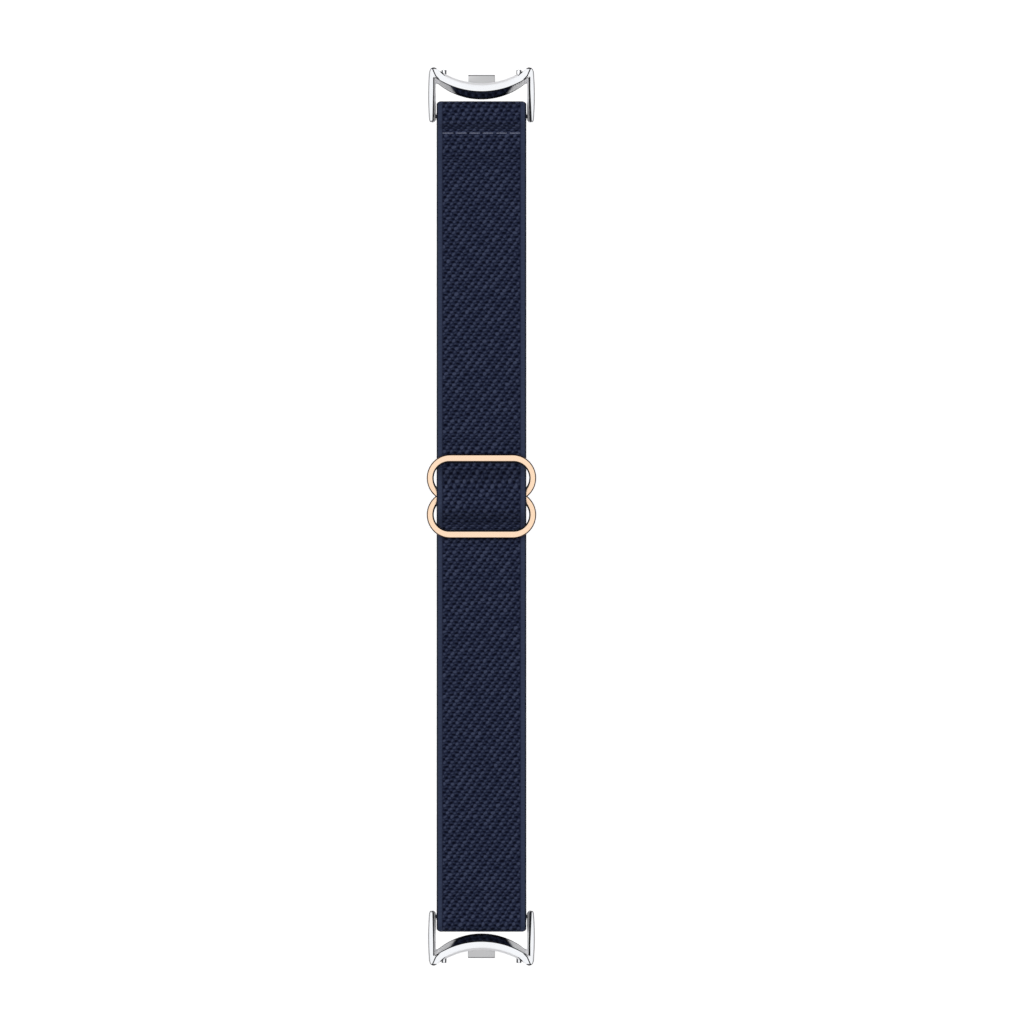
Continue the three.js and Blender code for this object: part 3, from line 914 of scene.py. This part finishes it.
def lofted(name, outlines, heights):
    """A closed body through one outline at each height."""
    count = len(outlines[0])
    deselect()
    bpy.ops.mesh.primitive_circle_add(vertices=count, radius=1, fill_type="NGON", location=(0, 0, 0))
    piece = named(name)
    edit(piece)
    for _ in heights[1:]:
        bpy.ops.mesh.extrude_region_move(TRANSFORM_OT_translate={"value": (0, 0, 1)})
    leave_edit()
    blank = corners(piece)
    turn = np.arctan2(blank[:, 1], blank[:, 0])
    station = np.round(turn / (2 * math.pi / count)).astype(int) % count
    level = np.round(blank[:, 2]).astype(int)
    shape = np.array(outlines)[level, station]
    place_corners(piece, MM * np.column_stack([shape, np.array(heights)[level]]))
    tidy_shell(piece)
    return piece


def rounded_block(low, high, corner, steps=10):
    """A rectangle's outline with its corners rounded, each by its own radius, anticlockwise from low."""
    path = []
    places = [(low[0], low[1], math.pi), (high[0], low[1], -math.pi / 2),
              (high[0], high[1], 0), (low[0], high[1], math.pi / 2)]
    for (x, y, start), radius in zip(places, corner):
        angle = np.linspace(start, start + math.pi / 2, steps)
        centre_x = x + radius if x == low[0] else x - radius
        centre_y = y + radius if y == low[1] else y - radius
        path.append(np.column_stack([centre_x + radius * np.cos(angle), centre_y + radius * np.sin(angle)]))
    return np.concatenate(path)


def cut(piece, tool, operation="DIFFERENCE"):
    modify(piece, "BOOLEAN", operation=operation, solver="EXACT", object=tool)
    bpy.data.objects.remove(tool, do_unlink=True)


def turned(name, profile, segments=48):
    """A closed turned body about X. The profile lists distance along X and radius, end to end."""
    deselect()
    bpy.ops.mesh.primitive_circle_add(vertices=segments, radius=1, fill_type="NGON", location=(0, 0, 0))
    piece = named(name)
    edit(piece)
    for _ in profile[1:]:
        bpy.ops.mesh.extrude_region_move(TRANSFORM_OT_translate={"value": (0, 0, 1)})
    leave_edit()
    blank = corners(piece)
    level = np.round(blank[:, 2]).astype(int)
    turn = np.arctan2(blank[:, 1], blank[:, 0])
    along, radius = np.array(profile)[level].T
    place_corners(piece, MM * np.column_stack([along, radius * np.cos(turn), radius * np.sin(turn)]))
    tidy_shell(piece)
    return piece


def stand_along_y(piece, x):
    """Turns a piece made along X to point towards the tracker, at a place across the connector."""
    place_corners(piece, corners(piece)[:, [1, 0, 2]] * (-1, 1, 1) + (x * MM, 0, 0))
    tidy_shell(piece)


def fit_end(piece, side):
    """Moves a piece from the connector's own frame to end A (side 1) or end B (side -1)."""
    place_corners(piece, corners(piece) * (side, side, 1) + (0, side * PIN_Y * MM, PIN_Z * MM))


def place_fitting(piece, end, side, degrees, node):
    """Puts a finished piece at its end of the band, where it stands for a node and rides its connector."""
    fit_end(piece, side)
    smooth(piece, degrees)
    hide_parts(node)
    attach(piece, f"fitting_{end}")


def painted_light_of_face(face):
    """The material of one face of a connector, chrome, a painted reflection or the painted shade line, by its
    place and how far it tilts from upright.
    """
    x, y, z = face.center / MM
    tilt = abs(face.normal.z)
    inward = -face.normal.x * math.copysign(1, x)
    top_line = abs(z) > FRAME_HALF - EDGE_LINE
    inside = abs(x) < CHEEK_IN + 0.1
    faces_strap = inside and face.normal.y < -LOOKS_TOWARDS and y > ARCH_BACK[0] - 1
    inside = abs(x) < CHEEK_IN + SHADED_CHAMFER[0] + 0.06
    faces_bar = inside and inward > LOOKS_TOWARDS and y < HORN[1] - 1
    horn_end = y > HORN[1] - HORN_ROUND and face.normal.y > LOOKS_TOWARDS + 0.1 and abs(x) > ARCH_END - 0.1

    def tilts(limits):
        return limits[0] < tilt < limits[1]

    if faces_strap and tilt < STRAP_SLOPE_TILT[1]:
        if not tilts(STRAP_SLOPE_TILT):
            return CHROME
        if top_line or abs(z) < ARCH_BACK_HALF + ARCH_LINE:
            return PAINTED_SHADE_LINE
        return PAINTED_PALE_REFLECTION if abs(x) > PALE_FROM else PAINTED_ARCH_REFLECTION
    if faces_bar and tilts(BAR_SLOPE_TILT):
        return PAINTED_SHADE_LINE if top_line else PAINTED_GREY_REFLECTION
    if horn_end and tilts(HORN_SLOPE_TILT):
        return PAINTED_SHADE_LINE
    if top_line and tilts(RIM_TILT):
        return PAINTED_RIM_REFLECTION if inward < -LOOKS_TOWARDS or y < 0 else PAINTED_FRONT_REFLECTION
    return CHROME


def paint_slope_light(piece):
    """Painted reflections for the faces between the flat tops, each in the tone that face mirrors, and
    painted dark lines along edges.
    """
    painted_slopes = [CHROME, PAINTED_SHADE_LINE, PAINTED_GREY_REFLECTION, PAINTED_PALE_REFLECTION, PAINTED_ARCH_REFLECTION, PAINTED_RIM_REFLECTION, PAINTED_FRONT_REFLECTION]
    for finish in painted_slopes[1:]:
        if finish.name not in piece.data.materials:
            piece.data.materials.append(finish)
    index = {finish.name: piece.data.materials.find(finish.name) for finish in painted_slopes}
    for face in piece.data.polygons:
        if not face.material_index:
            face.material_index = index[painted_light_of_face(face).name]


def connector_frame(end, side):
    above = [ARCH_BACK_HALF, ARCH_BACK_HALF + ARCH_LINE, FRAME_HALF - INNER_DEPTH,
             FRAME_HALF - EDGE_LINE, FRAME_HALF - RIM_STEP, FRAME_HALF]
    heights = [-z for z in reversed(above)] + above
    piece = lofted(f"chrome_frame_{end}", [frame_outline(z, side) for z in heights], heights)
    side_shape = rounded_block((HEEL_Y, -FRAME_HALF), (HORN[1], FRAME_HALF),
                               (HEEL_ROUND, HORN_ROUND, HORN_ROUND, HEEL_ROUND))
    block = lofted("side_block", [side_shape, side_shape], [-12.5, 12.5])
    place_corners(block, corners(block)[:, [2, 0, 1]])
    cut(piece, block, "INTERSECT")
    slot = rounded_block((-TONGUE["half"] - CLEARANCE, -TONGUE["thick"] - CLEARANCE),
                         (TONGUE["half"] + CLEARANCE, TONGUE["thick"] + CLEARANCE), (0.2, 0.2, 0.2, 0.2), 4)
    slot_tool = lofted("slot", [slot, slot], [-TONGUE["tip"] - 1, CLEARANCE - TONGUE["root"]])
    place_corners(slot_tool, corners(slot_tool)[:, [0, 2, 1]] * (1, -1, 1))
    tidy_shell(slot_tool)
    cut(piece, slot_tool)
    hole_radius = DOWEL["radius"] + CLEARANCE / 2
    for x in (-DOWEL["x"], DOWEL["x"]):
        hole_ends = DOWEL["root"] - CLEARANCE, DOWEL["tip"] + 2
        hole = turned("dowel_hole", [(reach, hole_radius) for reach in hole_ends])
        stand_along_y(hole, x)
        cut(piece, hole)
    for way in (-1, 1):
        cut(piece, turned("bar_socket", [(way * x, SOCKET["radius"]) for x in SOCKET["reach"]]))
    dress(piece, CHROME)
    piece.data.materials.append(PAINTED_SHADE_LINE)
    engrave_creases(piece)
    paint_slope_light(piece)
    place_fitting(piece, end, side, 32, f"connector_{end}")


def engrave_creases(piece):
    """The crease between each cheek and the arch, cut into the upper and lower faces with a cutter dressed in
    the painted shade line, for a painted dark line there.
    """
    for first, last in zip(CREASE, CREASE[1:]):
        span = np.subtract(last, first)
        length = math.hypot(*span)
        along = span / length
        for x in (-1, 1):
            for level in (-FRAME_HALF, FRAME_HALF):
                groove = turned("crease", [(-CREASE_WIDTH / 2, CREASE_WIDTH), (length, CREASE_WIDTH)], 4)
                points = corners(groove)
                flat = points[:, :1] * along + points[:, 1:2] * (-along[1], along[0]) + np.array(first) * MM
                place_corners(groove, np.column_stack([flat * (x, 1), points[:, 2] + level * MM]))
                tidy_shell(groove)
                dress(groove, PAINTED_SHADE_LINE)
                cut(piece, groove)


def tongue_plate(end, side):
    outlines, heights = [], []
    for drop, inset in TONGUE_EDGE:
        low = (inset - TONGUE["half"], TONGUE["root"])
        high = (TONGUE["half"] - inset, TONGUE["tip"] - inset)
        outlines.append(rounded_block(low, high, (0.05, 0.05, TONGUE["corner"], TONGUE["corner"]), 8))
        heights.append(TONGUE["thick"] - drop)
    piece = lofted(f"clip_tongue_{end}", outlines + outlines[::-1], heights + [-z for z in reversed(heights)])
    dress(piece, SATIN_CHROME)
    piece.data.materials.append(PAINTED_SHADE_LINE)
    # The tip's bevelled faces take the painted shade line: a dark line painted along the tip.
    for face in piece.data.polygons:
        if face.normal.y > 0.2 and abs(face.normal.z) > 0.1:
            face.material_index = 1
    place_fitting(piece, end, side, 35, f"tongue_{end}")


def locating_dowels(end, side):
    for hand, x in (("left", -DOWEL["x"]), ("right", DOWEL["x"])):
        nose = [(DOWEL["tip"] - back, DOWEL["radius"] - drop) for back, drop in DOWEL_NOSE]
        piece = turned(f"locating_dowel_{end}_{hand}", [(DOWEL["root"], DOWEL["radius"]), *nose])
        stand_along_y(piece, side * x)
        dress(piece, CHROME)
        piece.data.materials.append(PAINTED_SHADE_LINE)
        place_fitting(piece, end, side, 35, f"dowel_{end}_{hand}")
        # The steep sides of each dowel take the painted shade line: a painted dark reflection down both
        # sides.
        for face in piece.data.polygons:
            face.material_index = int(abs(face.normal.x) > 0.6 and abs(face.normal.z) > 0.25)


# ---------------------------------------------------------------- spring bars

BARREL_HALF = 9.75
BARREL_RADIUS = 0.9
BARREL_NOSE = ((0.0, 0.22), (0.04, 0.1), (0.12, 0.02), (0.24, 0.0))
BARREL_BORE = 0.58
CRIMP_BORE = 0.47
CRIMP_LENGTH = 0.45
PISTON = {"inner": 7.0, "outer": 9.2, "radius": 0.5}
TIP_RADIUS = 0.4
TIP_OUTER = 10.85
SPRING_RADIUS = 0.38
SPRING_WIRE = 0.09
SPRING_REACH = 6.81
SPRING_TURNS = 7


def barrel(end, side):
    wall = [(BARREL_HALF, CRIMP_BORE)]
    wall += [(BARREL_HALF - back, BARREL_RADIUS - drop) for back, drop in BARREL_NOSE]
    outside = [(-x, radius) for x, radius in wall] + wall[::-1]
    piece = turned(f"bar_barrel_{end}", outside)
    lip = BARREL_HALF - CRIMP_LENGTH
    bore = turned("bore", [
        (-BARREL_HALF - 1, CRIMP_BORE), (-lip, CRIMP_BORE), (-lip, BARREL_BORE),
        (lip, BARREL_BORE), (lip, CRIMP_BORE), (BARREL_HALF + 1, CRIMP_BORE),
    ])
    cut(piece, bore)
    dress(piece, PAINTED_SHADE_STEEL)
    place_fitting(piece, end, side, 35, f"spring_bar_{end}")


def bar_middle(end):
    """The middle of a spring bar, in metres."""
    return np.array([0, (PIN_Y if end == "a" else -PIN_Y) * MM, PIN_Z * MM])


def sprung_tip(end, hand):
    way = -1 if hand == "left" else 1
    profile = [
        (PISTON["inner"], PISTON["radius"] - 0.06), (PISTON["inner"] + 0.06, PISTON["radius"]),
        (PISTON["outer"] - 0.04, PISTON["radius"]), (PISTON["outer"], PISTON["radius"] - 0.04),
        (PISTON["outer"], TIP_RADIUS), (TIP_OUTER - 0.16, TIP_RADIUS), (TIP_OUTER - 0.06, TIP_RADIUS - 0.05),
        (TIP_OUTER, TIP_RADIUS - 0.16),
    ]
    piece = turned(f"sprung_tip_{end}_{hand}", [(way * x, radius) for x, radius in profile], 40)
    place_corners(piece, corners(piece) + bar_middle(end))
    smooth(piece, 35)
    dress(piece, PAINTED_SHADE_STEEL)
    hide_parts(f"bar_tip_{end}_{hand}")
    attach(piece, f"tip_{end}_{hand}")


def coil_spring(end, hand):
    """Half of the spring, from the barrel's middle to one tip."""
    way = -1 if hand == "left" else 1
    deselect()
    bpy.ops.mesh.primitive_circle_add(vertices=8, radius=SPRING_WIRE * MM, location=(0, 0, 0))
    piece = named(f"coil_spring_{end}_{hand}")
    ring = corners(piece)
    place_corners(piece, np.column_stack([ring[:, 0], ring[:, 1] + SPRING_RADIUS * MM, ring[:, 2]]))
    modify(piece, "SCREW", axis="X", angle=2 * math.pi, steps=20, render_steps=20, iterations=SPRING_TURNS,
           screw_offset=(SPRING_REACH - 2 * SPRING_WIRE) / SPRING_TURNS * MM, use_merge_vertices=False)
    edit(piece)
    bpy.ops.mesh.select_all(action="SELECT")
    bpy.ops.mesh.fill_holes(sides=0)
    leave_edit()
    centre = bar_middle(end)
    points = corners(piece) + (SPRING_WIRE * MM, 0, 0)
    place_corners(piece, points * (way, 1, 1) + centre)
    tidy_shell(piece, 1e-8)
    smooth(piece, 60)
    dress(piece, SATIN)
    if hand == "left":
        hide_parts(f"bar_spring_{end}")
    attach(piece, f"fitting_{end}")
    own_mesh(piece)


# ---------------------------------------------------------------- slider

RING_OFFSET = 3.97
RING_OUTER = 5.16
RING_WIDTH = 1.86
RING_SIDE_WIDTH = 1.53
RING_REACH = 6.845
RING_THICK = 1.1
RING_EDGE = 0.36
RING_INNER_EDGE = 0.5
BAR_HALF = 0.65
BAR_END = 8.6


def slider_ring(name, offset):
    """One stadium ring with a rounded rectangular section."""
    around, through = 192, 32
    deselect()
    bpy.ops.mesh.primitive_torus_add(
        major_segments=around, minor_segments=through, major_radius=1, minor_radius=0.25, location=(0, 0, 0)
    )
    piece = named(name)
    blank = corners(piece)
    turn = np.round(np.arctan2(blank[:, 1], blank[:, 0]) / (2 * math.pi / around)).astype(int) % around
    spread = np.hypot(blank[:, 0], blank[:, 1]) - 1
    spin = np.round(np.arctan2(blank[:, 2], spread) / (2 * math.pi / through)).astype(int) % through

    edges = RING_INNER_EDGE, RING_EDGE, RING_EDGE, RING_INNER_EDGE
    half_section = np.array([RING_WIDTH, RING_THICK]) / 2
    section_path = rounded_block(-half_section, half_section, edges, through // 4)
    middle = RING_OUTER - RING_WIDTH / 2
    quarter = math.pi * middle / 2
    side = 2 * RING_REACH
    run = np.arange(around) / around * (4 * quarter + 2 * side)
    # distances round the ring at which each quarter turn, straight side and half turn ends
    ends = np.cumsum([0, quarter, side, 2 * quarter, side, quarter])
    angle = np.interp(run, ends, np.array([0, 0.5, 0.5, 1.5, 1.5, 2]) * math.pi)
    shift = np.interp(run, ends, np.array([1, 1, -1, -1, 1, 1]) * RING_REACH)
    out, lift = section_path[spin].T
    slim = (1 - RING_SIDE_WIDTH / RING_WIDTH) * np.abs(np.cos(angle[turn]))
    reach = middle + out * (1 - slim)
    x = shift[turn] + reach * np.cos(angle[turn])
    y = SLIDER_Y + offset + reach * np.sin(angle[turn])
    place_corners(piece, MM * np.column_stack([x, y, BAR_Z + lift]))
    tidy_shell(piece)
    return piece


def slider_frame():
    piece = slider_ring("slider_rings", RING_OFFSET)
    cut(piece, slider_ring("second_ring", -RING_OFFSET), "UNION")
    half_section = np.array([BAR_HALF, RING_THICK / 2])
    section_path = rounded_block(-half_section, half_section, (RING_EDGE,) * 4, 6)
    bar = lofted("centre_bar", [section_path, section_path], [-BAR_END, BAR_END])
    place_corners(bar, corners(bar)[:, [2, 0, 1]] + (0, SLIDER_Y * MM, BAR_Z * MM))
    cut(piece, bar, "UNION")
    smooth(piece, 40)
    dress(piece, ROSE_GOLD)
    piece.data.materials.append(ROSE_GOLD_PAINTED_REFLECTION)
    piece.data.materials.append(PAINTED_SHADE_LINE)
    # Painted light on the slider's rounded edges: faces turned outwards take the darkened rose gold as a
    # painted reflection, faces turned inwards the painted shade line where the bars meet the strap.
    for face in piece.data.polygons:
        if 0.25 < abs(face.normal.z) < 0.95:
            x, y, _ = face.center / MM
            out_x = x - np.clip(x, -RING_REACH, RING_REACH)
            out_y = y - SLIDER_Y - math.copysign(RING_OFFSET, y - SLIDER_Y)
            face.material_index = 1 if face.normal.x * out_x + face.normal.y * out_y > 0 else 2
    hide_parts("slider_frame")
    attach(piece, "slider")


# ---------------------------------------------------------------- stitching

STITCH = {"length": 2.4, "gap": 0.5, "count": 6, "half_width": 0.11, "half_height": 0.13, "dip": 0.22}


def stitch_row(name, y, faces):
    """Dashes of thread across the strap, each a rounded bead that dips into the cloth at its ends."""
    pitch = STITCH["length"] + STITCH["gap"]
    made = []
    for way, z in faces:
        for number in range(STITCH["count"]):
            deselect()
            bpy.ops.mesh.primitive_uv_sphere_add(segments=32, ring_count=16, radius=1, location=(0, 0, 0))
            bead = bpy.context.object
            ball = corners(bead)
            reach = ball[:, 0]
            girth = np.hypot(ball[:, 1], ball[:, 2]) + 1e-9
            full = (1 - np.abs(reach) ** 6) ** (1 / 6) / girth
            middle = (number - (STITCH["count"] - 1) / 2) * pitch
            x = middle + reach * STITCH["length"] / 2
            dip = STITCH["dip"] * np.abs(reach) ** 3
            twist = 1 + 0.04 * np.sin(x * 18 + np.arctan2(ball[:, 2], ball[:, 1]) * 2)
            place_corners(bead, MM * np.column_stack([
                x,
                y + ball[:, 1] * full * twist * STITCH["half_width"],
                z + way * (ball[:, 2] * full * twist * STITCH["half_height"] - dip),
            ]))
            made.append(bead)
    deselect()
    for bead in made:
        bead.select_set(True)
    bpy.context.view_layer.objects.active = made[0]
    bpy.ops.object.join()
    piece = named(name)
    tidy_shell(piece, 1e-9)
    smooth(piece, 60)
    dress(piece, THREAD)
    return piece


def stitching():
    seam = stitch_row("seam_stitches", SEAM_Y, [(1, SEW_Z + HALF + 0.02), (-1, 0.03)])
    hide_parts("seam_thread_a")
    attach(seam, "strap_a_end")


webbing_end_a()
webbing_middle()
webbing_slider()
webbing_end_b()
slider_frame()
stitching()
for end_name, end_side in (("a", 1), ("b", -1)):
    connector_frame(end_name, end_side)
    tongue_plate(end_name, end_side)
    locating_dowels(end_name, end_side)
    barrel(end_name, end_side)
    for hand_name in ("left", "right"):
        sprung_tip(end_name, hand_name)
        coil_spring(end_name, hand_name)


# ---------------------------------------------------------------- studio, in metres

FLOOR_Z = -0.09
SOFTBOX_AT = (-0.55, 0.25, 0.55)
SOFTBOX_ACROSS = 0.35
SOFTBOX_WATTS = 1.2
EYE_AT = (0.0066, 0.00097, 0.5)
VIEW_ACROSS = 0.22142
# how bright the sky is at heights from the horizon (0) to overhead (1)
SKY_LEVELS = ((0.0, 0.85), (0.02, 0.06), (0.55, 0.06), (0.78, 0.96), (1.0, 1.0))


def studio():
    """A white sky with a dim band low down, which draws the edges of the metal, over a white floor."""
    world = bpy.data.worlds.new("studio")
    bpy.context.scene.world = world
    sky = Shader(world, "Background", Strength=1.05)
    height = sky.split(sky.add("ShaderNodeTexCoord"))[2]
    sky.feed("Color", sky.add("ShaderNodeValToRGB", {"stops": [
        (position, (grey, grey, grey * 1.01)) for position, grey in SKY_LEVELS
    ]}, height))

    deselect()
    bpy.ops.mesh.primitive_plane_add(size=4, location=(0, 0, FLOOR_Z))
    floor = named("studio_floor")
    paper = surface("white_paper", Roughness=0.9, Base_Color=(0.9, 0.9, 0.9, 1),
                    Emission_Color=(1, 1, 1, 1), Emission_Strength=0.47)
    dress(floor, paper.owner)

    light = bpy.data.lights.new("side_softbox", "AREA")
    light.energy = SOFTBOX_WATTS
    light.size = SOFTBOX_ACROSS
    lamp = bpy.data.objects.new("side_softbox", light)
    lamp.location = SOFTBOX_AT
    lamp.rotation_euler = (Vector((0, 0, 0)) - lamp.location).to_track_quat("-Z", "Y").to_euler()
    bpy.context.collection.objects.link(lamp)


def camera():
    lens = bpy.data.cameras.new("camera")
    lens.type = "ORTHO"
    lens.ortho_scale = VIEW_ACROSS
    lens.clip_start = 0.01
    lens.clip_end = 5
    eye = bpy.data.objects.new("camera", lens)
    eye.location = EYE_AT
    bpy.context.collection.objects.link(eye)
    bpy.context.scene.camera = eye


studio()
camera()
bpy.context.scene.view_settings.view_transform = "Standard"
